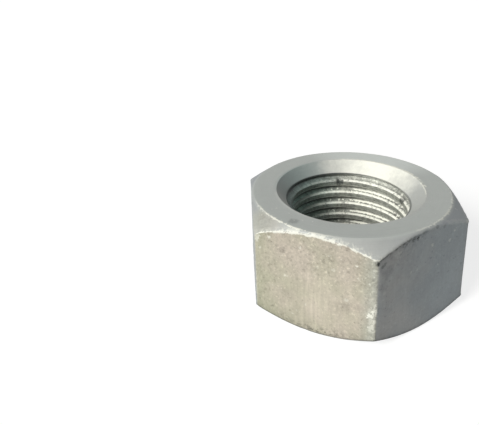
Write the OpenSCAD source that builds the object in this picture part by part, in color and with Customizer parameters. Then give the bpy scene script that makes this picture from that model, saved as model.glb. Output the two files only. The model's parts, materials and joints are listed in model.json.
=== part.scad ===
// Hex nut with an M42 coarse thread, lying on one bearing face.
// The thread's axis is Z, the lower bearing face is at z = 0 and two corners point along Y.

/* [Hexagon] */
// Width across the flats
across_flats = 65; // [52:1:80]
// Height from one bearing face to the other
thickness = 34; // [20:1:45]
// Radius of the six upright corners
corner_r = 1.5; // [0.5:0.1:3]

/* [Corner chamfer] */
// How much smaller than the flats each round bearing face is, on the diameter
face_inset = 1.3; // [0.5:0.1:3]
// Slope of the chamfer, in degrees from the bearing face
chamfer_slope = 35; // [15:1:40]

/* [Thread] */
// Major diameter, at the roots of the groove
thread_d = 42; // [36:1:50]
// Height that one turn climbs
pitch = 4.5; // [3:0.5:5.5]
// How much wider than the basic size the crests are bored, on the diameter
crest_allowance = 0.67; // [0.5:0.01:0.8]
// Angle at which the groove's lower end starts, in degrees from +X
thread_start = 330; // [0:5:355]

/* [Countersink] */
// How much wider than the thread each mouth is, on the diameter
mouth_lead = 6.4; // [2:0.1:9]
// Included angle of the countersink, in degrees
mouth_angle = 90; // [75:5:120]

/* [Hidden] */
$fn = 96;

// The 60 degree thread form: each flank leans this much from a plane across the axis
flank = 30;
// The crests of the basic form stand this share of the pitch inside the major diameter
basic_depth = 1.0825;
// The groove's floor is this share of the pitch wide
floor_share = 1 / 8;
steps_per_turn = 48;
// Cuts pass the surface they open by this much
overcut = 0.6;
// The arc of a corner stands this far out of the flats that it runs into
arc_lap = 0.01;

face_d = across_flats - face_inset;
corner_reach = across_flats / 2 / cos(30);
crest_r = (thread_d - basic_depth * pitch + crest_allowance) / 2;
root_r = thread_d / 2;
mouth_r = (thread_d + mouth_lead) / 2;
// Radius that a mouth gains for each millimetre of height
mouth_flare = tan(mouth_angle / 2);

// What is cut away outside the arc of the upright corner on the +X side
module corner_waste() {
    arc_x = corner_reach - corner_r / cos(30);
    meet_x = arc_x + corner_r * cos(30);
    difference() {
        translate([meet_x, -corner_r, -overcut])
            cube([corner_r, 2 * corner_r, thickness + 2 * overcut]);
        translate([arc_x, 0, -2 * overcut])
            cylinder(r = corner_r + arc_lap, h = thickness + 4 * overcut);
    }
}

// A bar of hexagonal section with rounded corners, two of them along Y
module hexagon_bar() {
    rotate(30)
        difference() {
            cylinder(r = corner_reach, h = thickness, $fn = 6);
            for (turn = [0:60:300])
                rotate(turn) corner_waste();
        }
}

// The turned shape that bevels the corners at both ends
module chamfered_round() {
    drop = (corner_reach - face_d / 2) * tan(chamfer_slope);
    rotate_extrude()
        polygon([
            [0, 0],
            [face_d / 2, 0],
            [corner_reach, drop],
            [corner_reach, thickness - drop],
            [face_d / 2, thickness],
            [0, thickness]
        ]);
}

// The bore at the thread's crests, with a countersunk mouth at each end
module bore() {
    mouth_h = (mouth_r - crest_r) / mouth_flare;
    past_r = mouth_r + overcut * mouth_flare;
    rotate_extrude()
        polygon([
            [0, -overcut],
            [past_r, -overcut],
            [crest_r, mouth_h],
            [crest_r, thickness - mouth_h],
            [past_r, thickness + overcut],
            [0, thickness + overcut]
        ]);
}

// The right-hand thread's groove, swept up the bore from mouth to mouth
module thread_groove() {
    floor_half = pitch * floor_share / 2;
    open_r = crest_r - overcut;
    open_half = floor_half + (root_r - open_r) * tan(flank);
    section = [
        [open_r, -open_half],
        [root_r, -floor_half],
        [root_r, floor_half],
        [open_r, open_half]
    ];
    sides = len(section);
    first_z = overcut;
    steps = ceil((thickness - 2 * first_z) / pitch * steps_per_turn);
    points = [
        for (step = [0:steps], corner = section)
            let (angle = thread_start + step * 360 / steps_per_turn)
            [
                corner[0] * cos(angle),
                corner[0] * sin(angle),
                corner[1] + first_z + step * pitch / steps_per_turn
            ]
    ];
    walls = [
        for (step = [0:steps - 1], side = [0:sides - 1])
            let (
                a = step * sides + side,
                b = step * sides + (side + 1) % sides
            )
            each [[a, b, a + sides], [b, b + sides, a + sides]]
    ];
    lower_end = [[0, 2, 1], [0, 3, 2]];
    last = steps * sides;
    upper_end = [[last, last + 1, last + 2], [last, last + 2, last + 3]];
    polyhedron(points, concat(walls, lower_end, upper_end));
}

// The nut before it is tapped
module blank() {
    difference() {
        intersection() {
            hexagon_bar();
            chamfered_round();
        }
        bore();
    }
}

module nut() {
    color("darkgray")
        difference() {
            blank();
            thread_groove();
        }
}

nut();
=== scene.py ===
import json
import math
from types import SimpleNamespace

import bpy
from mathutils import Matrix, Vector


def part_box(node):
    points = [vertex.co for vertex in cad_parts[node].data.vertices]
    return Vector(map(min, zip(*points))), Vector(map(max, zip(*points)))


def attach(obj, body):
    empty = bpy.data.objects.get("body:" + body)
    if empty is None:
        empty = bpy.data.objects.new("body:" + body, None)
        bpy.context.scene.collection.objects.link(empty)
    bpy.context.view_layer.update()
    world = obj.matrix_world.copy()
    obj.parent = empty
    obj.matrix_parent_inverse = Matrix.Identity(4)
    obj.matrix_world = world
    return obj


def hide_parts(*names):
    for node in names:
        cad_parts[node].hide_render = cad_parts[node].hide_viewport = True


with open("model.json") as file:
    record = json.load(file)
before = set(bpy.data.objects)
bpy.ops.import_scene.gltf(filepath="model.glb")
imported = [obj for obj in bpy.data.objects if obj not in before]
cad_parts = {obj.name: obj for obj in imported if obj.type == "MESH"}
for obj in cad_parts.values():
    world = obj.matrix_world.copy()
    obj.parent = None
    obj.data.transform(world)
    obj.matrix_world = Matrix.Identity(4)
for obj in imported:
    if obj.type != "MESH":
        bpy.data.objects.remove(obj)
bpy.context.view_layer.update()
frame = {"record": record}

white = (1, 1, 1, 1)


# a Wire is one output socket with arithmetic on it; a Bench adds nodes to one tree
class Wire:
    def __init__(self, bench, socket):
        self.bench, self.socket = bench, socket

    def maths(self, operation, *others):
        return self.bench.maths(operation, self, *others)

    def __add__(self, other):
        return self.maths("ADD", other)

    def __sub__(self, other):
        return self.maths("SUBTRACT", other)

    def __mul__(self, other):
        return self.maths("MULTIPLY", other)

    def __truediv__(self, other):
        return self.maths("DIVIDE", other)

    def __rsub__(self, other):
        return self.bench.maths("SUBTRACT", other, self)

    def __rtruediv__(self, other):
        return self.bench.maths("DIVIDE", other, self)

    def __neg__(self):
        return 0 - self

    def __abs__(self):
        return self.maths("ABSOLUTE")

    __radd__ = __add__
    __rmul__ = __mul__

    def least(self, other):
        return self.maths("MINIMUM", other)

    def most(self, other):
        return self.maths("MAXIMUM", other)

    def mapped(self, shape, low, high):
        settings = {"interpolation_type": shape, "clamp": True}
        values = {"Value": self, "From Min": low, "From Max": high}
        return self.bench.node("ShaderNodeMapRange", settings, values)

    def ramp(self, low, high):    # 0 at low, 1 at high, straight between them
        return self.mapped("LINEAR", low, high)

    def ease(self, low, high):    # as ramp, with soft ends
        return self.mapped("SMOOTHSTEP", low, high)

    def bell(self, width):        # 1 where the value is 0, half at the width
        share = self / width
        return 1 / (1 + share * share)


class Bench:
    def __init__(self, tree):
        self.tree = tree

    def node(self, kind, settings=None, inputs=None, out=0):
        made = self.tree.nodes.new(kind)
        for name, value in (settings or {}).items():
            setattr(made, name, value)
        pairs = enumerate(inputs) if isinstance(inputs, (list, tuple)) else (inputs or {}).items()
        for key, value in pairs:
            if isinstance(key, int):
                slot = made.inputs[key]
            else:
                slot = next(s for s in made.inputs if s.name == key and s.enabled)
            for one in value if isinstance(value, list) else [value]:
                if isinstance(one, Wire):
                    self.tree.links.new(one.socket, slot)
                else:
                    slot.default_value = one
        if isinstance(out, int):
            return Wire(self, made.outputs[out]) if made.outputs else made
        return Wire(self, next(s for s in made.outputs if s.name == out and s.enabled))

    def maths(self, operation, *values):
        return self.node("ShaderNodeMath", {"operation": operation}, list(values))

    def point(self, x, y, z):
        return self.node("ShaderNodeCombineXYZ", None, [x, y, z])

    def split(self, vector):
        made = self.node("ShaderNodeSeparateXYZ", None, [vector]).socket.node
        return [Wire(self, s) for s in made.outputs]

    def vector(self, operation, first, second, out=0):
        return self.node("ShaderNodeVectorMath", {"operation": operation}, [first, second], out)

    def scaled(self, vector, factor):
        vector = vector[:3] if isinstance(vector, tuple) else vector
        values = {"Vector": vector, "Scale": factor}
        return self.node("ShaderNodeVectorMath", {"operation": "SCALE"}, values)

    def far(self, spot, centre):
        return self.vector("DISTANCE", spot, centre, "Value")

    # a cloudy pattern, 0 to 1, harder with a small spread
    def noise(self, spot, scale, detail=2.0, roughness=0.5, spread=0.22):
        values = {"Vector": spot, "Scale": scale, "Detail": detail, "Roughness": roughness}
        cloud = self.node("ShaderNodeTexNoise", {"noise_dimensions": "3D"}, values, "Fac")
        return cloud.ramp(0.5 - spread, 0.5 + spread)

    def mixed(self, kind, amount, first, second):
        values = {"Factor": amount, "A": first, "B": second}
        return self.node("ShaderNodeMix", {"data_type": kind}, values, "Result")

    def blend(self, amount, first, second):    # of two colours
        return self.mixed("RGBA", amount, first, second)

    def mix(self, amount, first, second):      # of two numbers
        return self.mixed("FLOAT", amount, first, second)


def benchFor(owner):    # an empty node tree for a material or a world
    owner.use_nodes = True
    owner.node_tree.nodes.clear()
    return Bench(owner.node_tree)


def addObject(name, data):
    made = bpy.data.objects.new(name, data)
    bpy.context.scene.collection.objects.link(made)
    return made


threadMount = next(m for m in frame["record"]["mounts"] if m["name"] == "thread")
nutLow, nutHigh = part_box("nut")
# lengths in metres, angles in radians; each one is an input of the node tree
nutSizes = {
    "Across flats": nutHigh.x - nutLow.x,
    "Thickness": nutHigh.z - nutLow.z,
    "Flat inset": 0.00007,          # swells and burrs on the flats stay under their true planes
    "Corner radius": 0.0015,
    "Bearing diameter": 0.0637,
    "Chamfer slope": math.radians(35),
    "Rim softness": 0.00026,        # rounding where the bearing face meets the chamfer
    "Ridge softness": 0.00042,      # rounding where the chamfer meets the flats
    "Thread diameter": 0.042,
    "Crest diameter": threadMount["dims"]["r_mm"] * 0.002,
    "Pitch": 0.0045,
    "Thread start": 330 / 360,      # turns from +X at which the groove's lower end starts
    "Thread lead in": 0.0006,       # height at which it starts
    "Mouth diameter": 0.0484,
    "Mouth half angle": math.radians(45),
    "Crest softness": 0.00026,
    "Corner knock": 0.0008,         # how far the left corner's tip is beaten down
    "Waviness": 0.00004,
    "Grain": 0.000016,
    "Burr": 0.00015,
    "Tearing": 0.00007,             # how rough the tap left the thread
    "Seed": 7.0,
}
nutDetail = {
    "perCorner": 76,       # columns from the middle of one flat to the middle of the next
    "inArc": 10,           # how many of them go round the corner
    # rows outside, from the mouth: last of the face, its rim, the chamfer, its edge and half a flat
    "faceRows": (5, 8, 15, 21, 35),
    # rows in the bore, from mid groove: last of the floor, its edge, flank, crest's edge and crest
    "threadRows": (1, 2, 4, 8, 9),
    "knockWidth": 0.0015,
    "weld": 2e-6,                     # points closer than this become one
    "crispBend": math.radians(38),    # edges that bend more than this look sharp
    # patterns: scale, detail and roughness
    "swell": (85.0,),
    "grain": (700.0,),
    "ragged": (520.0, 3.0, 0.65),
    "torn": (900.0, 3.0, 0.6),
    "pits": (330.0, 2.0),
}
frontCorner, leftCorner = 4, 3       # corners are counted anticlockwise from 30 degrees off +X
slant = math.pi / 6                  # half a flat's turn, and the lean of the thread's flanks
flankLean = math.tan(slant)          # height that a flank gains for each metre of depth
halfFloor = 1 / 16                   # half the groove's floor, as a share of the pitch
nudge = 1e-4                         # keeps a whole number whole when it is rounded down

# stored on each point of the mesh for the burrs and for the coating:
# edgeGap, metres from the chamfer's edge down the flat, and below zero on chamfer and face
# cornerSide, metres sideways from the nearest corner
# threadSide, share of the pitch from the middle of the groove
# boreWall, 0 outside, 0.5 on the countersinks and 1 in the thread
markNames = ("edgeGap", "cornerSide", "threadSide", "boreWall")


def gridCell(bench, rows):    # column and row of each point of a grid
    index = bench.node("GeometryNodeInputIndex")
    column = (index / rows + nudge).maths("FLOOR")
    return column, index - column * rows


def shapedGrid(bench, rows, place, marks):    # a grid with its points moved to their places
    counts = {"Vertices X": 6 * nutDetail["perCorner"] + 1, "Vertices Y": rows}
    mesh = bench.node("GeometryNodeMeshGrid", None, counts)
    mesh = bench.node("GeometryNodeSetPosition", None, {"Geometry": mesh, "Position": place})
    settings = {"data_type": "FLOAT", "domain": "POINT"}
    for name, value in zip(markNames, marks):
        values = {"Geometry": mesh, "Name": name, "Value": value}
        mesh = bench.node("GeometryNodeStoreNamedAttribute", settings, values)
    return mesh


def cornerRadius(bench, size, corner, down, share):
    # the six upright edges are not alike: the front one is soft above and crisp below the middle
    along = corner.maths("MODULO", 6) * 5.3 + down * 2.2 + size["Seed"]
    drift = bench.node("ShaderNodeTexNoise", {"noise_dimensions": "1D"},
                       {"W": along, "Scale": 1.0, "Detail": 1.0}, "Fac")
    front = 1 - abs(corner - frontCorner).least(1)
    frontSwell = 0.30 - 0.78 * down.ease(0.42, 0.62) + 0.45 * down.ease(0.75, 0.95)
    swell = (drift - 0.5) * 1.2 * (1 - front) + front * frontSwell
    return size["Corner radius"] * (1 + swell * share)


def nutOutline(column, size, radius):
    # plan of the rounded hexagon: distance from the axis, turn round it, and distance
    # from the plane through the corner
    corner = (column / nutDetail["perCorner"]).maths("FLOOR")
    share = column / nutDetail["perCorner"] - corner
    near = share.least(1 - share)
    arcStart = 0.5 - nutDetail["inArc"] / nutDetail["perCorner"] / 2
    half = size["Across flats"] / 2 - size["Flat inset"]
    cosine, sine, tangent = math.cos(slant), math.sin(slant), math.tan(slant)
    along = near.ramp(0, arcStart) * (half * tangent - radius * tangent)
    lean = (1 - near.ramp(arcStart, 0.5)) * slant
    outwards = half * cosine + along * sine + radius * (lean.maths("COSINE") - cosine)
    sideways = half * sine - along * cosine + radius * (lean.maths("SINE") - sine)
    reach = (outwards * outwards + sideways * sideways).maths("SQRT")
    lag = sideways.maths("ARCTAN2", outwards) * (share - 0.5).maths("SIGN")
    turn = slant + corner * (math.pi / 3) + lag
    return reach, turn, sideways


def outerShell(bench, size):    # faces, chamfers and flats
    lastFace, lastRim, lastChamfer, lastRidge, lastFlat = nutDetail["faceRows"]
    rows = 2 * lastFlat + 1
    column, row = gridCell(bench, rows)
    near = row.least(rows - 1 - row)
    upper = (lastFlat - row).maths("SIGN")
    corner = (column / nutDetail["perCorner"]).maths("FLOOR")
    onEdge = near.ramp(lastRim, lastChamfer)
    radius = cornerRadius(bench, size, corner, row / (rows - 1), onEdge)
    reach, turn, sideways = nutOutline(column, size, radius)
    onLeft = 1 - abs(corner - leftCorner).least(1)
    tip = sideways.bell(nutDetail["knockWidth"])
    knocked = onLeft * upper.most(0) * tip * size["Corner knock"]

    faceR, mouthR = size["Bearing diameter"] / 2, size["Mouth diameter"] / 2
    cosS, sinS = size["Chamfer slope"].maths("COSINE"), size["Chamfer slope"].maths("SINE")
    rim, ridge = size["Rim softness"], size["Ridge softness"].least((reach - faceR) / cosS * 0.55)
    edgeDrop = (reach - faceR) * sinS / cosS
    bevel = (reach - faceR) / cosS - rim - ridge
    flat, round1 = near.ramp(0, lastFace), near.ramp(lastFace, lastRim)
    slope, round2 = near.ramp(lastRim, lastChamfer), near.ramp(lastChamfer, lastRidge)
    fall = near.ramp(lastRidge, lastFlat).maths("POWER", 1.5)
    into1, into2 = 1 - (1 - round1) * (1 - round1), 1 - (1 - round2) * (1 - round2)
    r = (mouthR + flat * (faceR - rim - mouthR)
         + rim * into1 + rim * cosS * round1 * round1
         + cosS * bevel * slope + ridge * cosS * into2)
    depth = (rim * sinS * round1 * round1 + sinS * bevel * slope
             + ridge * sinS * into2 + ridge * round2 * round2
             + knocked * slope * slope
             + (size["Thickness"] / 2 - edgeDrop - ridge - knocked) * fall)
    z = size["Thickness"] / 2 + upper * (size["Thickness"] / 2 - depth)
    place = bench.point(r * turn.maths("COSINE"), r * turn.maths("SINE"), z)
    edgeGap = (depth - edgeDrop - knocked).most(0) - (reach - r).most(0) / cosS
    return shapedGrid(bench, rows, place, (edgeGap, sideways, 1.0, 0.0))


def boreWall(bench, size):    # countersinks and thread, with the rows along the helix
    lastFloor, lastRoot, lastFlank, lastSoft, lastCrest = nutDetail["threadRows"]
    perPitch = 2 * lastCrest
    laps = math.ceil((nutHigh.z - nutLow.z) / nutSizes["Pitch"]) + 2
    rows = laps * perPitch + 1
    column, row = gridCell(bench, rows)
    _, turn, _ = nutOutline(column, size, size["Corner radius"])

    pitch, crestR, rootR = size["Pitch"], size["Crest diameter"] / 2, size["Thread diameter"] / 2
    floorHalf = pitch * halfFloor
    grooveHalf = floorHalf + (rootR - crestR) * flankLean
    crestHalf = pitch / 2 - grooveHalf
    soft = size["Crest softness"]
    lap = (row / perPitch + nudge).maths("FLOOR")
    step = (row / perPitch - lap) * 2 - 1
    near = abs(step) * (perPitch / 2)                 # rows from the middle of the groove
    fromFloor = (near.ramp(0, lastFloor) * (floorHalf - soft * 0.5)
                 + near.ramp(lastFloor, lastRoot) * soft
                 + near.ramp(lastRoot, lastFlank) * (grooveHalf - floorHalf - soft * 1.5)
                 + near.ramp(lastFlank, lastSoft) * soft * 2
                 + near.ramp(lastSoft, lastCrest) * (crestHalf - soft))
    level = fromFloor * step.maths("SIGN")
    lead = size["Thread lead in"] + pitch * (turn / math.tau - size["Thread start"])
    z = ((lap - 1) * pitch + level + lead).most(0).least(size["Thickness"])

    flank = rootR - (fromFloor - floorHalf) / flankLean
    bored = flank.maths("SMOOTH_MAX", crestR, soft * 1.73).maths("SMOOTH_MIN", rootR, soft)
    end = z.least(size["Thickness"] - z)
    cone = size["Mouth diameter"] / 2 - end * size["Mouth half angle"].maths("TANGENT")
    r = bored.maths("SMOOTH_MAX", cone, 0.0001)
    place = bench.point(r * turn.maths("COSINE"), r * turn.maths("SINE"), z)
    inThread = (bored - cone).ease(-0.0008, -0.00005)
    return shapedGrid(bench, rows, place, (-1.0, 1.0, fromFloor / pitch, 0.5 + 0.5 * inThread))


# knocks: place in metres, radius, depth, and how dark they are painted
nutDents = [
    ((0.0002, 0.0190, 0.0275), 0.0011, 0.0007, 0.9),       # nicks in the first thread
    ((0.0186, 0.0034, 0.0266), 0.0010, 0.0008, 0.75),
    ((0.0003, -0.0374, 0.0290), 0.0005, 0.0004, 1.0),      # front corner, just under the chamfer
    ((0.0018, -0.0365, 0.0276), 0.0007, 0.0001, 0.42),
    ((0.0025, -0.0361, 0.0283), 0.0007, 0.0001, 0.38),
    ((0.0118, -0.0308, 0.0320), 0.0010, 0.0001, 0.35),
    ((-0.0245, -0.0234, 0.0259), 0.0010, 0.00012, 0.30),
    ((-0.0239, -0.0237, 0.0270), 0.0006, 0.00008, 0.20),
    ((-0.0185, -0.0269, 0.0213), 0.0006, 0.00008, 0.22),
    ((-0.0134, -0.0298, 0.0257), 0.0006, 0.00008, 0.25),
    ((-0.0072, -0.0334, 0.0315), 0.0009, 0.00010, 0.22),
    ((-0.0063, -0.0339, 0.0140), 0.0009, 0.00006, 0.14),
    ((-0.0182, -0.0270, 0.0012), 0.0016, 0.00010, 0.22),
    ((0.0200, -0.0260, 0.0330), 0.0007, 0.00008, 0.35),
    ((0.0227, -0.0244, 0.0323), 0.0008, 0.00008, 0.25),
    ((-0.0207, -0.0207, 0.0340), 0.0018, 0.00004, 0.27),   # smudge on the bearing face
]
# chips down to bright metal: place in metres, radius, brightness
nutChips = [
    ((-0.0001, -0.0375, 0.0159), 0.0007, 0.8),
    ((-0.0004, -0.0373, 0.0141), 0.0010, 1.0),
    ((-0.0010, -0.0370, 0.0137), 0.0008, 0.9),
    ((-0.0002, -0.0374, 0.0106), 0.0008, 0.7),
    ((-0.0009, -0.0370, 0.0086), 0.0009, 0.6),
    ((-0.0316, -0.0193, 0.0285), 0.0011, 0.5),
    ((-0.0281, -0.0213, 0.0295), 0.0006, 0.6),
    ((-0.0071, -0.0334, 0.0150), 0.0008, 0.35),
    ((-0.0198, -0.0261, 0.0283), 0.0005, 0.35),
    ((-0.0237, -0.0238, 0.0179), 0.0006, 0.45),
    ((-0.0150, -0.0289, 0.0236), 0.0005, 0.25),
    ((-0.0106, -0.0314, 0.0240), 0.0005, 0.35),
    ((0.0115, -0.0309, 0.0211), 0.0006, 0.25),
    ((0.0136, -0.0297, 0.0215), 0.0004, 0.22),
    ((0.0132, -0.0299, 0.0318), 0.0007, 0.18),
    ((0.0070, -0.0335, 0.0296), 0.0006, 0.12),
    ((0.0065, -0.0338, 0.0280), 0.0006, 0.14),
    ((0.0060, -0.0341, 0.0263), 0.0006, 0.11),
    ((0.0025, -0.0360, 0.0190), 0.0006, 0.12),
    ((0.0022, -0.0362, 0.0165), 0.0005, 0.12),
    ((-0.0013, -0.0368, 0.0123), 0.0011, 1.0),
    ((-0.0005, -0.0373, 0.0127), 0.0009, 1.0),
    ((-0.0197, -0.0262, 0.0282), 0.0006, 0.45),
    ((-0.0308, -0.0197, 0.0252), 0.0005, 0.35),
    ((0.0187, -0.0267, 0.0276), 0.0005, 0.30),
    ((0.0252, -0.0230, 0.0267), 0.0006, 0.25),
    ((0.0268, -0.0221, 0.0294), 0.0005, 0.30),
]
# lighter and darker patches of coating: place in metres, radius, share of the light
nutStains = [
    ((-0.0112, -0.0311, 0.0300), 0.0045, 0.90),
    ((-0.0040, -0.0352, 0.0275), 0.0038, 0.90),
    ((-0.0064, -0.0338, 0.0168), 0.0020, 1.12),
    ((-0.0098, -0.0319, 0.0130), 0.0020, 0.88),
    ((-0.0072, -0.0334, 0.0128), 0.0018, 0.85),
    ((-0.0045, -0.0350, 0.0132), 0.0018, 0.87),
    ((-0.0150, -0.0289, 0.0110), 0.0050, 1.09),
    ((-0.0182, -0.0270, 0.0222), 0.0040, 0.95),
    ((-0.0230, -0.0242, 0.0120), 0.0030, 0.91),
    ((-0.0230, -0.0242, 0.0035), 0.0040, 0.95),
    ((-0.0022, -0.0363, 0.0230), 0.0035, 0.93),
    ((0.0038, -0.0353, 0.0262), 0.0038, 0.76),
    ((0.0020, -0.0364, 0.0215), 0.0022, 0.82),
    ((0.0100, -0.0318, 0.0260), 0.0060, 0.92),
    ((0.0075, -0.0331, 0.0080), 0.0070, 1.05),
    ((0.0150, -0.0289, 0.0150), 0.0060, 0.95),
    ((0.0290, -0.0208, 0.0150), 0.0080, 1.10),
    ((0.0231, -0.0242, 0.0102), 0.0060, 1.07),
]


def ridgeMiddle(cornerSide, x, y):    # how far below the chamfer's edge the burr on a flat lies
    return 0.00022 + 0.00028 * cornerSide.ramp(0.001, 0.009) - edgeRise(x, y)


def edgeRise(x, y):    # on the left-front flat the film creeps up over the chamfer's edge
    return (x + 0.0078).bell(0.0012) * (-y).ramp(0.02, 0.03) * 0.0004


def roughened(bench, size, shell):    # uneven coating, burrs, torn thread and knocks
    spot = bench.node("GeometryNodeInputPosition")
    normal = bench.node("GeometryNodeInputNormal", None, None, "Normal")
    edgeGap, cornerSide, threadSide, wall = (
        bench.node("GeometryNodeInputNamedAttribute", {"data_type": "FLOAT"},
                   {"Name": name}, "Attribute") for name in markNames)
    x, y, _ = bench.split(spot)
    drift = bench.vector("ADD", spot, bench.point(size["Seed"], size["Seed"], size["Seed"]))
    swell = bench.noise(drift, *nutDetail["swell"]) - 0.5
    grain = bench.noise(drift, *nutDetail["grain"]) - 0.5
    ragged = bench.noise(drift, *nutDetail["ragged"]).ease(0.15, 0.75)
    torn = bench.noise(drift, *nutDetail["torn"]) - 0.5
    pits = bench.noise(drift, *nutDetail["pits"]).ease(0.70, 0.95)
    onFlat = edgeGap.ramp(0, 0.0006)
    inThread = wall.ramp(0.5, 1)
    crestEdge = (threadSide - 0.33).bell(0.06)
    ridge = (edgeGap - ridgeMiddle(cornerSide, x, y)).bell(0.00034)
    ridge = ridge * (edgeGap + edgeRise(x, y)).ramp(-0.0003, 0.0002)
    change = (onFlat * (size["Waviness"] * swell + size["Grain"] * grain)
              + ridge * ragged * size["Burr"]
              + inThread * size["Tearing"] * (torn * (0.5 + crestEdge) - pits * crestEdge))
    for place, radius, depth, _ in nutDents:
        change = change - bench.far(spot, place).ease(radius, radius * 0.3) * depth
    moved = {"Geometry": shell, "Offset": bench.scaled(normal, change)}
    shell = bench.node("GeometryNodeSetPosition", None, moved)
    # nothing may leave the box of the plain nut
    inside = bench.vector("MINIMUM", spot, tuple(nutHigh))
    inside = bench.vector("MAXIMUM", inside, tuple(nutLow))
    return bench.node("GeometryNodeSetPosition", None, {"Geometry": shell, "Position": inside})


def nutShape():
    tree = bpy.data.node_groups.new("hexNutShape", "GeometryNodeTree")
    tree.interface.new_socket("Geometry", in_out="OUTPUT", socket_type="NodeSocketGeometry")
    for name in nutSizes:
        tree.interface.new_socket(name, in_out="INPUT", socket_type="NodeSocketFloat")
    tree.interface.new_socket("Finish", in_out="INPUT", socket_type="NodeSocketMaterial")
    bench = Bench(tree)
    group = tree.nodes.new("NodeGroupInput")
    size = {s.name: Wire(bench, s) for s in group.outputs if s.name}

    halves = [outerShell(bench, size), boreWall(bench, size)]
    shell = bench.node("GeometryNodeJoinGeometry", None, {"Geometry": halves})
    joined = {"Geometry": shell, "Distance": nutDetail["weld"]}
    shell = bench.node("GeometryNodeMergeByDistance", None, joined)
    shell = bench.node("GeometryNodeFlipFaces", None, {"Mesh": shell})
    shell = roughened(bench, size, shell)

    bend = bench.node("GeometryNodeInputMeshEdgeAngle", None, None, "Unsigned Angle")
    crisp = bench.node("FunctionNodeCompare", {"data_type": "FLOAT", "operation": "GREATER_THAN"},
                       {"A": bend, "B": nutDetail["crispBend"]})
    smooth = {"Geometry": shell, "Shade Smooth": True}
    shell = bench.node("GeometryNodeSetShadeSmooth", {"domain": "FACE"}, smooth)
    sharp = {"Geometry": shell, "Selection": crisp, "Shade Smooth": False}
    shell = bench.node("GeometryNodeSetShadeSmooth", {"domain": "EDGE"}, sharp)
    shell = bench.node("GeometryNodeRealizeInstances", None, {"Geometry": shell})
    finished = {"Geometry": shell, "Material": size["Finish"]}
    shell = bench.node("GeometryNodeSetMaterial", None, finished)
    bench.node("NodeGroupOutput", None, [shell])
    return tree


def makeNut(finish):
    maker = addObject("nutMaker", bpy.data.meshes.new("nutSeed"))
    modifier = maker.modifiers.new("shape", "NODES")
    modifier.node_group = nutShape()
    for item in modifier.node_group.interface.items_tree:
        if item.in_out == "INPUT":
            modifier[item.identifier] = finish if item.name == "Finish" else nutSizes[item.name]
    ready = maker.evaluated_get(bpy.context.evaluated_depsgraph_get())
    mesh = bpy.data.meshes.new_from_object(ready)
    maker.modifiers.clear()
    bpy.data.objects.remove(maker)
    mesh.name = "hexNut"
    return addObject("hexNut", mesh)


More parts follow.
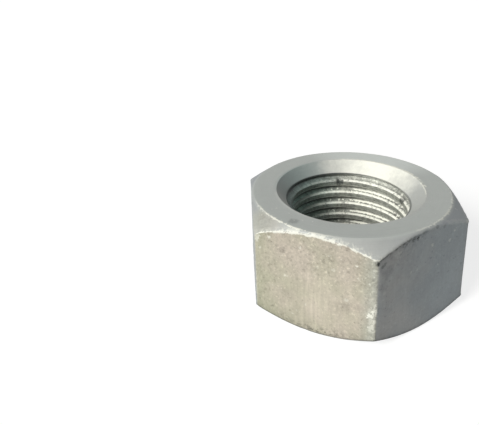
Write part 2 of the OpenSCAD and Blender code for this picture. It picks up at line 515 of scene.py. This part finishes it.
zincLook = {
    "flatGrey": (0.33, 0.335, 0.332, 1),        # plain coated flats
    "flatBlue": (0.292, 0.326, 0.345, 1),
    "film": (0.485, 0.435, 0.365, 1),           # dull dried film
    "filmOlive": (0.375, 0.375, 0.275, 1),
    "filmCool": (0.372, 0.382, 0.338, 1),       # the same next to the front corner
    "face": (0.419, 0.441, 0.424, 1),           # turned bearing faces
    # chamfers as a shaded and a lit copy, painted lighter on the side facing the light
    "chamferShaded": (0.268, 0.287, 0.300, 1),
    "chamferLit": (0.43, 0.44, 0.425, 1),
    "sinkShade": (0.290, 0.342, 0.332, 1),       # countersinks: painted shade, plain, and painted highlight
    "sinkDull": (0.425, 0.437, 0.419, 1),
    "sinkHighlight": (0.77, 0.77, 0.70, 1),
    "flank": (0.50, 0.51, 0.46, 1),
    "land": (0.29, 0.30, 0.26, 1),              # the thread's crests
    "shadedSideTint": (0.75, 1.03, 1.04, 1),        # painted bluish tint of shade on the thread's side away from the light
    "glintShadeTint": (0.87, 1.0, 0.99, 1),        # and of the painted highlights there
    # dirt, and painted shade in the grooves, under the burrs, under the countersink and along the
    # lower edges
    "grimeAndShade": (0.015, 0.020, 0.018, 1),
    "shiny": (0.78, 0.78, 0.70, 1),              # worn to bright metal, and painted highlight on the ridges and rims
    "glinting": (0.96, 0.96, 0.87, 1),           # painted highlights on the thread's flanks and crest edges
    "metallic": {"face": 0.12, "flat": 0.04, "flank": 0.35},
    "roughness": {"face": 0.58, "flat": 0.60, "flank": 0.36, "film": 0.70, "shiny": 0.6},
    # one share for each flat, anticlockwise from +X
    "filmOnFlats": (0.15, 0.5, 0.3, 0.0, 1.0, 0.0),
    # wear with painted highlight, strongest on the flat facing the light
    "wearAndGlintOnRidges": (0.2, 0.6, 0.5, 0.15, 1.0, 0.10),
    # painted shadow under the burr of the right-front flat
    "shadowUnderRidges": (0, 0, 0, 0, 0, 1),
    # distances from the axis between which these shares set in
    "flatFrom": (0.0317, 0.0322),
    "ridgeFrom": (0.0308, 0.0316),
    # wear with painted highlight round the bearing faces, strongest towards the light: direction
    # and half width in degrees, strength
    "rimWearAndGlint": ((222, 18, 1.0), (325, 26, 0.5), (60, 30, 0.3)),
    "filmPatch": (-0.0295, -0.0175, 0.0335),    # thin film on the chamfer
    "mottle": (-0.0285, -0.0168, 0.0334),       # dark mottling beside it
    # directions in degrees from +X
    "toward": {
        "face": 62,           # where the bearing faces are painted lighter, a painted sheen
        "chamfer": 243,       # side of the chamfers facing the light, painted lighter
        "chamferPaintedShade": 264,   # where painted shade darkens them beside the face
        "beaten": 228,        # where the wear on them thins out
        "mouthSpecks": 42,    # specks beside the mouth
        "mouthLine": -6,      # bright line on its rim
        # on the countersinks: painted shade, painted light on the far left, and the painted
        # highlight
        "sinkShade": 140,
        "sinkLightened": 207,
        "sinkHighlight": 53,
        "lipShadow": 130,          # where the painted shadow line under the countersink is darkest
        "thread": 38,         # the thread's side facing the light, painted lighter and with less dirt and shade
        "shadedSide": 175,          # its side away from the light, painted bluish as shade
        "fullerGroove": 190,         # where dirt and painted shade fill more of the groove
        "shaded": 165,        # where the crests are painted darkest, as shade
        "glinting": 52,        # where painted highlights reach low on the flanks too
        "firstTurns": 62,     # where the first turns are painted lighter, as light
    },
    # patterns: scale, detail, roughness and spread
    "patterns": {
        "broad": (90.0, 2.0),
        "patches": (300.0, 3.0, 0.6),
        "blobs": (620.0, 2.0, 0.6, 0.16),
        "specks": (800.0, 1.0),
        "ragged": (1050.0, 3.0, 0.7, 0.18),
        "flecks": (1150.0, 2.0, 0.5, 0.17),
        "grain": (1500.0, 2.0, 0.6, 0.15),
        "streaks": (1000.0, 2.0, 0.6),          # upright
        "radial": (1700.0, 3.0, 0.65, 0.16),    # down the chamfers
        "rings": (2600.0, 3.0, 0.6),            # turning marks
    },
}


class Place:
    # where a point of the surface lies, and on which part of the nut
    def __init__(self, bench):
        self.spot = bench.node("ShaderNodeTexCoord", None, None, "Object")
        self.x, self.y, self.z = bench.split(self.spot)
        self.reach = (self.x * self.x + self.y * self.y).maths("SQRT")
        self.azimuth = self.y.maths("ARCTAN2", self.x)
        self.edgeGap, self.cornerSide, self.threadSide, wall = (
            bench.node("ShaderNodeAttribute",
                       {"attribute_type": "GEOMETRY", "attribute_name": name}, None, "Fac")
            for name in markNames)
        self.outside = 1 - wall.ramp(0.0, 0.4)
        self.upperHalf = self.z.ramp(0.014, 0.020)
        self.onFlat = self.edgeGap.ramp(0.0, 0.0005)
        self.pastFace = self.reach - nutSizes["Bearing diameter"] / 2
        self.onChamfer = self.pastFace.ramp(0.0, 0.0003) * (1 - self.onFlat) * self.outside

        rootR, crestR = nutSizes["Thread diameter"] / 2, nutSizes["Crest diameter"] / 2
        groove = rootR - (self.threadSide - halfFloor) * (nutSizes["Pitch"] / flankLean)
        end = self.z.least(nutSizes["Thickness"] - self.z)
        cone = nutSizes["Mouth diameter"] / 2 - end * math.tan(nutSizes["Mouth half angle"])
        self.pastCone = groove.most(crestR).least(rootR) - cone      # below zero on a countersink
        self.inSink = wall.ramp(0.1, 0.45)
        self.inThread = self.pastCone.ramp(-0.00075, -0.0004) * self.inSink
        # how far the thread's wall faces the light
        self.litWall = self.toward("thread")
        self.deep = self.z.ramp(0.0300, 0.0262)                      # 0 in the first turns

    def cosineTo(self, direction):    # of the turn to a direction in degrees
        angle = math.radians(direction)
        return (self.x * math.cos(angle) + self.y * math.sin(angle)) / self.reach

    def toward(self, name):
        return self.cosineTo(zincLook["toward"][name])

    def flats(self, shares, start, end):    # the share of the flat that the point lies on
        total = 0.0
        for turn, share in enumerate(shares):
            if share:
                angle = turn * math.pi / 3
                outwards = self.x * math.cos(angle) + self.y * math.sin(angle)
                total = total + outwards.ramp(start, end) * share
        return total.least(1)


def coatingPatterns(bench, at):    # each of zincLook's patterns under its own name
    drawnOut = {
        "streaks": bench.vector("MULTIPLY", at.spot, (1.0, 1.0, 0.10)),
        "radial": bench.point(at.azimuth * 0.033, at.reach * 0.12, at.z * 0.12),
        "rings": bench.point(at.reach, at.azimuth * 0.0004, 0.0),
    }
    return SimpleNamespace(**{
        name: bench.noise(drawnOut.get(name, at.spot), *values)
        for name, values in zincLook["patterns"].items()})


def driedFilm(bench, at):    # how much of the metal the dull film hides
    film = at.flats(zincLook["filmOnFlats"], *zincLook["flatFrom"])
    film = film * (at.edgeGap + edgeRise(at.x, at.y)).ramp(0.0, 0.0005)
    film = film * (1 - (-at.x).ramp(0.0320, 0.0324))       # none on the far left flat
    patch = bench.far(at.spot, zincLook["filmPatch"]).ease(0.0085, 0.0035)
    return film.most(patch * at.onChamfer * 0.35)


def shinyRidges(at, grit):    # bright metal along the chamfers' edges and up the chamfers: wear, with painted highlight where the edges face the light
    wearAndGlint = at.flats(zincLook["wearAndGlintOnRidges"], *zincLook["ridgeFrom"])
    wearAndGlint = wearAndGlint * (1 - (-at.x).ramp(0.0314, 0.0320) * 0.8)
    nearFront = (at.x + 0.0022).bell(0.0045) * (-at.y).ramp(0.02, 0.03)
    beaten = at.x.ramp(-0.0262, -0.0236) * (1 - at.toward("beaten").ramp(0.95, 0.985) * 0.45)

    ridge = at.edgeGap - ridgeMiddle(at.cornerSide, at.x, at.y)
    ridge = ridge.bell(0.00036 + nearFront * 0.00009) * 1.5
    ridge = ridge + grit.blobs * (1.2 + nearFront * 0.5) + grit.ragged * 0.7
    ridge = (ridge - 1.7 - nearFront * 0.2).ramp(0.0, 0.45)
    ridge = ridge * wearAndGlint * at.upperHalf * (1 - nearFront * 0.12)

    narrow = at.edgeGap.ramp(-0.0015, -0.0005) * at.onChamfer * wearAndGlint * at.upperHalf
    narrow = narrow * (1 - nearFront) * (0.4 + 0.6 * beaten)
    narrow = narrow * (grit.blobs * 1.4 + grit.ragged * 1.0 - 0.95).ramp(0.0, 0.5) * 0.85

    run = (grit.radial * 0.9 + grit.ragged * 1.1 + grit.blobs * 0.8 - 1.2).ramp(0.0, 0.75)
    run = at.edgeGap.ramp(-0.0042, -0.0012) * at.onChamfer * run
    run = run * wearAndGlint * at.x.ramp(0.0022, -0.0040) * beaten * 0.52
    return ridge.most(narrow).most(run)


def shinyRims(at, grit):    # bright specks round the bearing faces and the mouths: wear, with painted highlight on the rim facing the light
    share = 0.0
    for direction, half, strength in zincLook["rimWearAndGlint"]:
        fade = math.cos(math.radians(half + 14)), math.cos(math.radians(half - 6))
        share = share + at.cosineTo(direction).ramp(*fade) * strength
    rim = (at.pastFace - 0.00006).bell(0.00033) * at.outside * (1 - at.onFlat)
    rim = (rim * 1.5 + grit.blobs * 1.1 + grit.ragged * 1.1 - 1.85).ramp(0.0, 0.6) * share

    fromMouth = at.reach - nutSizes["Mouth diameter"] / 2
    onTop = at.z.ramp(0.0332, 0.0338)
    specks = (fromMouth - 0.0004).bell(0.0006) * onTop * at.toward("mouthSpecks").ramp(0.5, 0.85)
    line = (fromMouth + 0.0002).bell(0.00026) * onTop * at.toward("mouthLine").ramp(0.950, 0.985)
    rim = rim.most((specks * 1.3 + grit.blobs * 1.3 - 1.5).ramp(0.0, 0.5) * 0.8)
    return rim.most((line * 1.2 + grit.ragged * 0.8 - 1.05).ramp(0.0, 0.5) * 0.6)


def shinyMetal(bench, at, grit):    # all bright metal outside the thread: wear and chips, with painted highlights on ridges and rims
    shiny = shinyRidges(at, grit).most(shinyRims(at, grit))
    upright = (at.cornerSide.bell(0.0005) + grit.ragged * 1.2 - 1.3).ramp(0.0, 0.6)
    shiny = shiny.most(upright * at.onFlat * at.outside * 0.25)
    strip = (grit.streaks * 0.7 + grit.blobs * 0.9 + grit.ragged * 0.9 - 1.15).ramp(0.0, 0.4)
    strip = (-at.y).ramp(0.0360, 0.0370) * at.x.ramp(0.0010, 0.0002) * at.onFlat * strip
    shiny = shiny.most(strip * (0.10 + 0.32 * at.z.ramp(0.018, 0.014)))
    for place, radius, strength in nutChips:
        chip = bench.far(at.spot, place) / radius + (grit.ragged - 0.5) * 2.0
        shiny = shiny.most(chip.ease(1.0, 0.45) * strength)
    return shiny


def threadGlints(at, grit):    # painted highlights: bright bands high and low on the flanks, and glints
    side = at.threadSide
    high = side.ramp(0.215, 0.25) * side.ramp(0.35, 0.325)
    high = high * (grit.blobs * 0.8 + grit.ragged * 1.2 - 0.3).ramp(0.0, 0.6)
    high = high * at.deep.most(at.litWall.ramp(0.57, 0.64))
    low = (side - 0.13).bell(0.045) * at.z.ramp(0.0285, 0.026)
    low = low * at.toward("glinting").ramp(0.86, 0.96)
    low = (low * 1.4 + grit.ragged * 0.9 - 0.95).ramp(0.0, 0.4)
    glints = (grit.flecks - 0.78).ramp(0.0, 0.12) * side.ramp(0.06, 0.10) * side.ramp(0.36, 0.33)
    glints = glints * at.litWall.ramp(0.15, 0.5) * at.deep
    return high.most(low).most(glints) * at.inThread * at.z.ramp(0.0291, 0.0285) * 0.9


def dirtAndShadeOn(bench, at, grit):    # darkening: dirt and painted shade in the thread, painted shadow under the burrs, along the edges and in the knocks
    # dirt in the grooves with painted shade, more of it on the side away from the light
    fill = 0.15 - at.litWall.ramp(-0.2, 0.5) * 0.03 - (1 - at.deep) * 0.05
    fill = fill + at.toward("fullerGroove").ramp(0.6, 1.0) * 0.04       # how far out of the groove
    dirtAndShade = at.threadSide.ramp(fill, 0.045) * at.inThread
    dirtAndShade = dirtAndShade * (0.92 - at.litWall.ramp(0.0, 0.95) * 0.67)

    # painted shadow line under the countersink, over the crests and over the flanks
    atFlank = at.threadSide.ramp(0.34, 0.31)
    onCrest = at.pastCone.ramp(-0.00110, -0.00090) * at.pastCone.ramp(-0.00038, -0.00060)
    onFlank = at.pastCone.ramp(-0.00135, -0.00100) * at.pastCone.ramp(0.0003, 0.0)
    lipShadow = onCrest * (1 - atFlank)
    lipShadow = lipShadow.most(onFlank * atFlank * at.reach.ramp(0.0212, 0.0206))
    dirtAndShade = dirtAndShade.most(lipShadow * at.inSink * (0.60 + at.toward("lipShadow").ramp(0.1, 0.8) * 0.32))

    # dark specks on the flats; painted shadow under the chamfers' edges; along the lower edges a
    # painted dark line of shade, and smears of dirt
    dirtAndShade = dirtAndShade.most((grit.specks - 0.93).ramp(0.0, 0.07) * at.onFlat * 0.2)
    jag = (at.edgeGap - 0.0013).bell(0.0007) * (at.x - 0.0118).bell(0.0028)
    jag = jag * (grit.blobs * 1.3 + grit.ragged * 0.9 - 0.9).ramp(0.0, 0.5) * 1.3
    burrShadow = (at.edgeGap - 0.0006).bell(0.0004).most(jag)
    burrShadow = burrShadow * at.flats(zincLook["shadowUnderRidges"], *zincLook["flatFrom"])
    burrShadow = burrShadow * at.x.ramp(0.019, 0.013) * (grit.ragged * 1.6 + 0.1) * at.upperHalf * 0.6
    smear = (at.edgeGap - 0.0011).bell(0.0012) * (at.x + 0.0150).bell(0.0085)
    smear = smear * (grit.blobs * 1.3 + grit.ragged * 0.9 - 0.65).ramp(0.0, 0.8)
    # painted dark line of shade along the lower edges, with smears of dirt
    lower = (at.edgeGap - 0.0002).bell(0.0005).most(smear)
    lower = lower * at.z.ramp(0.012, 0.006) * at.outside * 0.78 * (0.5 + grit.ragged * 0.5)
    dirtAndShade = dirtAndShade.most(burrShadow).most(lower)
    for place, radius, depth, darkness in nutDents:
        dent = bench.far(at.spot, place) / (radius + depth) + (grit.ragged - 0.5) * 0.5
        dirtAndShade = dirtAndShade.most(dent.ease(1.05, 0.45) * darkness)
    return dirtAndShade


def flatPaints(bench, at, grit):    # plain flats, and flats under the film
    fleck = (grit.flecks - 0.8).ramp(0.0, 0.2) * (0.16 + 0.22 * grit.broad)
    fleck = fleck - grit.flecks.ramp(0.18, 0.0) * 0.20
    stain = 1.0
    for place, radius, share in nutStains:
        patch = bench.far(at.spot, place) / radius + (grit.patches - 0.5) * 0.8
        stain = stain + patch.ease(1.1, 0.2) * (share - 1)

    grey = (grit.broad * 0.8 + 0.3 - at.x.ramp(0.006, 0.026) * 0.8).ramp(0.0, 1.0)
    plain = bench.blend(grey, zincLook["flatBlue"], zincLook["flatGrey"])
    shade = 0.80 + grit.broad * 0.10 + grit.patches * 0.12 + grit.grain * 0.08
    besideEdge = at.x.ramp(0.0026, 0.0004) * (-at.y).ramp(0.034, 0.036) * at.z.ramp(0.026, 0.018)
    shade = shade + grit.streaks * 0.08 + fleck * 0.4 + besideEdge * 0.15
    plain = bench.scaled(plain, shade)

    olive = (grit.broad - 0.5) * 0.9 + 0.25 + (-at.x).ramp(0.0255, 0.0310) * 0.8
    olive = olive + at.z.ramp(0.0120, 0.0020) * (-at.x).ramp(0.0100, 0.0200) * 0.5
    filmed = bench.blend(olive.ramp(0.0, 1.0), zincLook["film"], zincLook["filmOlive"])
    beside = at.x.ramp(-0.0042, -0.0008) * (-at.y).ramp(0.03, 0.034)
    filmed = bench.blend(beside * (0.55 + grit.patches * 0.4), filmed, zincLook["filmCool"])
    brushed = 0.09 + 0.16 * (at.x + 0.0150).bell(0.007) * at.z.ramp(0.026, 0.019)
    # smoother in the middle
    calm = (at.x + 0.0165).bell(0.0075) * at.z.ramp(0.022, 0.017) * 0.6
    speckle = grit.patches * 0.14 + grit.blobs * 0.07 + grit.grain * 0.17 - 0.19 + fleck
    filmed = bench.scaled(filmed, 0.95 + speckle * (1 - calm) + grit.streaks * brushed)
    return bench.scaled(plain, stain), bench.scaled(filmed, stain)


def facePaint(bench, at, grit):    # bearing faces and chamfers, with painted light and shade
    # the chamfers are painted lighter on the side facing the light
    bright = at.toward("chamfer").ramp(0.5, 0.95)
    chamfer = bench.blend(bright, zincLook["chamferShaded"], zincLook["chamferLit"])
    # painted shade beside the face, where the chamfers face the light more
    soften = at.toward("chamferPaintedShade").ramp(0.93, 0.985) * (at.reach - 0.0318).ramp(0.0032, 0.0)
    mottle = 0.25 + (grit.patches * 1.2 + grit.blobs * 1.2 - 1.0).ramp(0.0, 0.5) * 0.75
    mottle = bench.far(at.spot, zincLook["mottle"]).ease(0.0052, 0.0015) * mottle
    chamfer = bench.scaled(chamfer, 1 - soften * 0.09 - mottle * 0.32)
    # painted sheen: the faces are painted lighter towards the face direction
    face = bench.scaled(zincLook["face"], 1 + at.toward("face").ease(0.62, 1.0) * 0.45)
    colour = bench.blend((at.reach - 0.0317).ramp(0.0, 0.0012), face, chamfer)
    shade = 0.93 + grit.patches * 0.06 + grit.grain * 0.04 + grit.rings * 0.05
    return bench.scaled(colour, shade)


def sinkPaint(bench, at, grit):    # countersinks: painted shade on the side away from the light, a painted highlight and painted light
    # painted shade on the side away from the light
    dark = at.toward("sinkShade").ramp(0.72, 1.0)
    colour = bench.blend(dark, zincLook["sinkDull"], zincLook["sinkShade"])
    # painted highlight where the light mirrors towards the camera
    bright = at.toward("sinkHighlight") + (grit.patches - 0.5) * 0.12
    colour = bench.blend(bright.ramp(0.56, 0.98), colour, zincLook["sinkHighlight"])
    # painted light on the far left, where only the room lights it
    pale = at.toward("sinkLightened").ramp(0.85, 1.0)
    return bench.scaled(colour, 0.92 + grit.patches * 0.08 + grit.grain * 0.06 + pale * 0.22)


def threadPaint(bench, at, grit, onLand, glinting):    # painted shade on the side away from the light and lower down, painted light deep on that side and on the first turns
    lit = at.litWall.ramp(-0.2, 1.0).maths("POWER", 2.3)
    # painted light and shade: lighter on the wall facing the light, lighter deep down on the far
    # wall, darker crests on the shaded side and darker lower down
    shade = 0.26 + 0.74 * lit + 0.45 * at.deep * (1 - lit)
    shade = shade * (1 - 0.45 * at.toward("shaded").ramp(0.3, 0.9) * onLand.most(1 - at.deep))
    shade = shade * (1 - 0.20 * at.z.ramp(0.025, 0.014))
    shade = shade * (1 + 0.38 * (1 - at.deep) * at.toward("firstTurns").ramp(0.82, 0.97))
    middle = (at.threadSide - 0.2).bell(0.045) * at.litWall.ramp(0.75, 0.95) * at.deep * 0.65
    grainy = 0.40 + grit.patches * 0.4 + grit.grain * 0.45 + grit.blobs * 0.35
    coated = bench.blend(onLand, zincLook["flank"], zincLook["land"])
    coated = bench.scaled(coated, grainy * shade * (1 - middle))

    # painted bluish tint of shade on the side away from the light
    shadedSide = at.toward("shadedSide").ramp(0.0, 0.75)
    coated = bench.vector("MULTIPLY", coated, bench.blend(shadedSide, white, zincLook["shadedSideTint"]))
    tint = bench.blend(shadedSide, white, zincLook["glintShadeTint"])
    metal = bench.vector("MULTIPLY", zincLook["glinting"][:3], tint)
    # painted highlights, dimmed by the same painted shade
    light = bench.mix(at.deep, shade.least(1), 0.20 + 0.80 * at.litWall.ramp(-0.25, 0.55))
    return bench.blend(glinting, coated, bench.scaled(metal, light))


def relief(bench, at, grit, film, bright):    # fine bumps, as a height in metres
    flat = grit.patches * 0.000014 + grit.grain * 0.000006 + grit.streaks * 0.000005
    flat = flat * (0.3 + film * 0.7)
    face = grit.rings * 0.0000010 + grit.broad * 0.000012
    thread = grit.ragged * 0.00011 + grit.grain * 0.000035
    height = bench.mix(at.inThread, bench.mix(at.onFlat.most(film), face, flat), thread)
    height = height + bright * grit.ragged * 0.00004
    values = {"Strength": 1.0, "Distance": 1.0, "Height": height}
    return bench.node("ShaderNodeBump", None, values, "Normal")


def zincCoating():
    material = bpy.data.materials.new("dullZinc")
    bench = benchFor(material)
    at = Place(bench)
    grit = coatingPatterns(bench, at)
    film, dirtAndShade = driedFilm(bench, at), dirtAndShadeOn(bench, at, grit)
    shiny, glinting = shinyMetal(bench, at, grit), threadGlints(at, grit)
    onLand = (at.threadSide + (grit.ragged - 0.5) * 0.05).ramp(0.335, 0.375)    # on the crests

    plain, filmed = flatPaints(bench, at, grit)
    colour = bench.blend(at.onFlat, facePaint(bench, at, grit), plain)
    colour = bench.blend(film, colour, filmed)
    colour = bench.blend(at.inSink, colour, sinkPaint(bench, at, grit))
    colour = bench.blend(at.inThread, colour, threadPaint(bench, at, grit, onLand, glinting))
    colour = bench.blend(shiny, colour, zincLook["shiny"])
    colour = bench.blend(dirtAndShade, colour, zincLook["grimeAndShade"])

    bright, metal, rough = shiny.most(glinting), zincLook["metallic"], zincLook["roughness"]
    sheen = bench.mix(at.onFlat, metal["face"], metal["flat"])
    sheen = bench.mix(at.inThread, sheen, metal["flank"] - onLand * 0.20)
    metallic = (sheen * (1 - film) * (1 - bright) + glinting * 0.2).least(1) * (1 - dirtAndShade)
    dull = bench.mix(at.onFlat, rough["face"], rough["flat"])
    dull = bench.mix(at.inThread, dull, rough["flank"] + onLand * 0.2)
    dull = bench.mix(bright, bench.mix(film, dull, rough["film"]), rough["shiny"])
    roughness = dull + dirtAndShade * 0.3 + (grit.patches - 0.5) * 0.06 + (grit.grain - 0.5) * 0.05

    values = {"Base Color": colour, "Metallic": metallic, "Roughness": roughness,
              "Normal": relief(bench, at, grit, film, bright)}
    shader = bench.node("ShaderNodeBsdfPrincipled", None, values)
    bench.node("ShaderNodeOutputMaterial", None, {"Surface": shader})
    return material


nut = makeNut(zincCoating())
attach(nut, "root")
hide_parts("nut")
print("nut made,", sum(len(p.vertices) - 2 for p in nut.data.polygons), "triangles")


studio = {
    "keyFrom": (-0.644, -0.522, 0.559),     # direction towards the main light
    "keyStrength": 3.6,
    "keySoftness": math.radians(24),        # how wide it looks
    "keyColour": (1.0, 0.99, 0.955),
    "skyColour": (0.94, 1.0, 1.02),         # light that the white room gives
    "skyStrength": 0.10,
    "floorBounce": 0.60,                    # how light the floor is for the nut
    "floorPaint": 0.30,                     # how light it is in the picture, where it takes shadows
    "floorGlow": 0.80,                      # what it is given on top, to look white
    "floorReach": 6.0,                      # metres from the middle
    "lens": 40.0,                           # the camera's, in mm
    "sensor": 36.0,
    "shift": (-0.03443, -0.17375),          # in picture widths
    "nearest": 0.005,                       # what is nearer isn't shown, in metres
    "cameraAt": (-0.03421, -0.15838, 0.11067),
    "cameraTurn": (70.860, 1.815, -2.045),  # degrees round X, Y and Z
}


def seenDirectly(bench):
    # 1 for rays that show the background itself, straight or in a reflection
    path = bench.node("ShaderNodeLightPath").socket.node
    names = ("Is Camera Ray", "Is Glossy Ray", "Is Transmission Ray")
    camera, glossy, through = (Wire(bench, path.outputs[name]) for name in names)
    return (camera + glossy + through).least(1)


def makeFloor():
    material = bpy.data.materials.new("palePaper")
    bench = benchFor(material)
    paint, bounce, far = studio["floorPaint"], studio["floorBounce"], studio["floorReach"]
    paper = bench.node("ShaderNodeBsdfDiffuse", None, {"Color": (paint, paint, paint, 1)})
    glowing = {"Color": white, "Strength": studio["floorGlow"]}
    glow = bench.node("ShaderNodeEmission", None, glowing)
    seen = bench.node("ShaderNodeAddShader", None, [paper, glow])
    dull = bench.node("ShaderNodeBsdfDiffuse", None, {"Color": (bounce, bounce, bounce, 1)})
    mixed = bench.node("ShaderNodeMixShader", None, [seenDirectly(bench), dull, seen])
    bench.node("ShaderNodeOutputMaterial", None, {"Surface": mixed})
    mesh = bpy.data.meshes.new("floor")
    corners = [(-far, -far, 0), (far, -far, 0), (far, far, 0), (-far, far, 0)]
    mesh.from_pydata(corners, [], [(0, 1, 2, 3)])
    mesh.materials.append(material)
    addObject("floor", mesh)


def makeLight():
    world = bpy.data.worlds.new("paleRoom")
    bpy.context.scene.world = world
    bench = benchFor(world)
    dim = tuple(c * studio["skyStrength"] for c in studio["skyColour"]) + (1,)
    colour = bench.blend(seenDirectly(bench), dim, white)
    sky = bench.node("ShaderNodeBackground", None, {"Color": colour, "Strength": 1.0})
    bench.node("ShaderNodeOutputWorld", None, {"Surface": sky})
    sun = bpy.data.lights.new("key", "SUN")
    sun.energy = studio["keyStrength"]
    sun.angle = studio["keySoftness"]
    sun.color = studio["keyColour"]
    lamp = addObject("key", sun)
    lamp.rotation_euler = Vector(studio["keyFrom"]).to_track_quat("Z", "Y").to_euler()


def makeCamera():
    lens = bpy.data.cameras.new("camera")
    lens.sensor_width = studio["sensor"]
    lens.lens = studio["lens"]
    lens.shift_x, lens.shift_y = studio["shift"]
    lens.clip_start = studio["nearest"]
    camera = addObject("camera", lens)
    camera.location = studio["cameraAt"]
    camera.rotation_euler = [math.radians(a) for a in studio["cameraTurn"]]
    bpy.context.scene.camera = camera


makeFloor()
makeLight()
makeCamera()
bpy.context.scene.view_settings.view_transform = "Standard"
print("floor, light and camera made")
